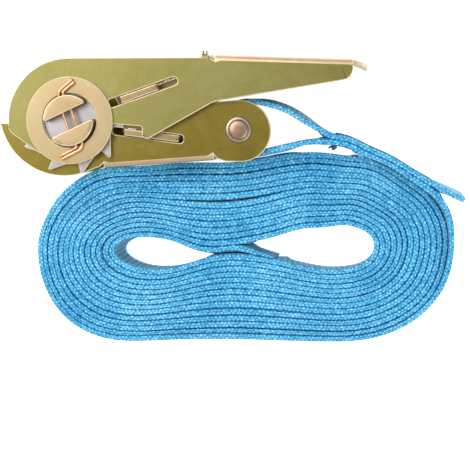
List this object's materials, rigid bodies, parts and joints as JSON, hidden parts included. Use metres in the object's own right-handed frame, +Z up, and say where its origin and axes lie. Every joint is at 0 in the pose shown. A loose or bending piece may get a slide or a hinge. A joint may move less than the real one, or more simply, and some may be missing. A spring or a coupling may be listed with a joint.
{
  "type": "ratchet tie down",
  "caption": "Endless ratchet tie-down: plated ratchet with swing handle, split mandrel, sprung pawls, and blue webbing sewn to its anchor pin and wound into a flat hank.",
  "frame": {"origin": "centre of the object's plan outline, on the surface that it lies on", "axes": "+Z up from the surface, along the ratchet's axle; +X along the ratchet from its axle to its grip; +Y from the hank towards the grip"},
  "size_m": [0.1812, 0.1156, 0.0472],
  "materials": {
    "zinc_handle": "yellow zinc plate, iridescent, satin",
    "zinc_frame": "yellow zinc plate, darker olive, satin",
    "zinc_pawl": "yellow zinc plate, bright",
    "zinc_mandrel": "pale yellow zinc plate",
    "zinc_washer": "beige zinc plate, fine scratches",
    "wheel_steel": "grey zinc plate with bright cut edges",
    "copper_pin": "copper-tinted zinc plate",
    "pin_steel": "copper-tinted riveted end",
    "ring_steel": "lilac-grey zinc plate",
    "spring_steel": "drawn spring wire",
    "blue_webbing": "woven polyester, crosswise ribs",
    "blue_thread": "sewing thread"
  },
  "bodies": {
    "frame": {"frame": "zinc_frame", "anchor_pin": "pin_steel", "anchor_pin_washers": "ring_steel", "lock_spring_seat": "zinc_frame", "lock_spring": "spring_steel", "webbing_loop": "blue_webbing", "webbing_lead": "blue_webbing", "webbing_tail": "blue_webbing", "webbing_stitches": "blue_thread", "webbing_hank": "blue_webbing"},
    "handle": {"handle": "zinc_handle", "drive_spring_bracket": "zinc_handle", "drive_spring": "spring_steel"},
    "drive_pawl": {"drive_pawl": "zinc_pawl"},
    "lock_pawl": {"lock_pawl": "zinc_pawl"},
    "mandrel": {"mandrel_half_upper": "zinc_mandrel", "mandrel_half_lower": "zinc_mandrel", "ratchet_wheel_near": "wheel_steel", "ratchet_wheel_far": "wheel_steel", "cotter_pin_near": "copper_pin", "cotter_pin_far": "copper_pin"},
    "washer_near": {"washer_near": "zinc_washer"},
    "washer_far": {"washer_far": "zinc_washer"}
  },
  "joints": [
    {"name": "handle_swing", "type": "hinge", "parent": "frame", "child": "handle", "pos_m": [-0.0624, 0.0308, 0.0236], "axis": [0, 0, 1], "range_deg": [0, 180]},
    {"name": "drive_pawl_slide", "type": "slide", "parent": "handle", "child": "drive_pawl", "axis": [-0.9438, -0.3305, 0], "range_m": [-0.0008, 0.0033], "deforming": ["drive_spring"]},
    {"name": "lock_pawl_slide", "type": "slide", "parent": "frame", "child": "lock_pawl", "axis": [-0.9917, 0.1288, 0], "range_m": [-0.0008, 0.0033], "deforming": ["lock_spring"]},
    {"name": "mandrel_turn", "type": "hinge", "parent": "frame", "child": "mandrel", "pos_m": [-0.0624, 0.0308, 0.0236], "axis": [0, 0, 1], "continuous": true},
    {"name": "washer_near_turn", "type": "hinge", "parent": "mandrel", "child": "washer_near", "pos_m": [-0.0624, 0.0308, 0.0436], "axis": [0, 0, 1], "continuous": true},
    {"name": "washer_far_turn", "type": "hinge", "parent": "mandrel", "child": "washer_far", "pos_m": [-0.0624, 0.0308, 0.0036], "axis": [0, 0, 1], "continuous": true}
  ]
}
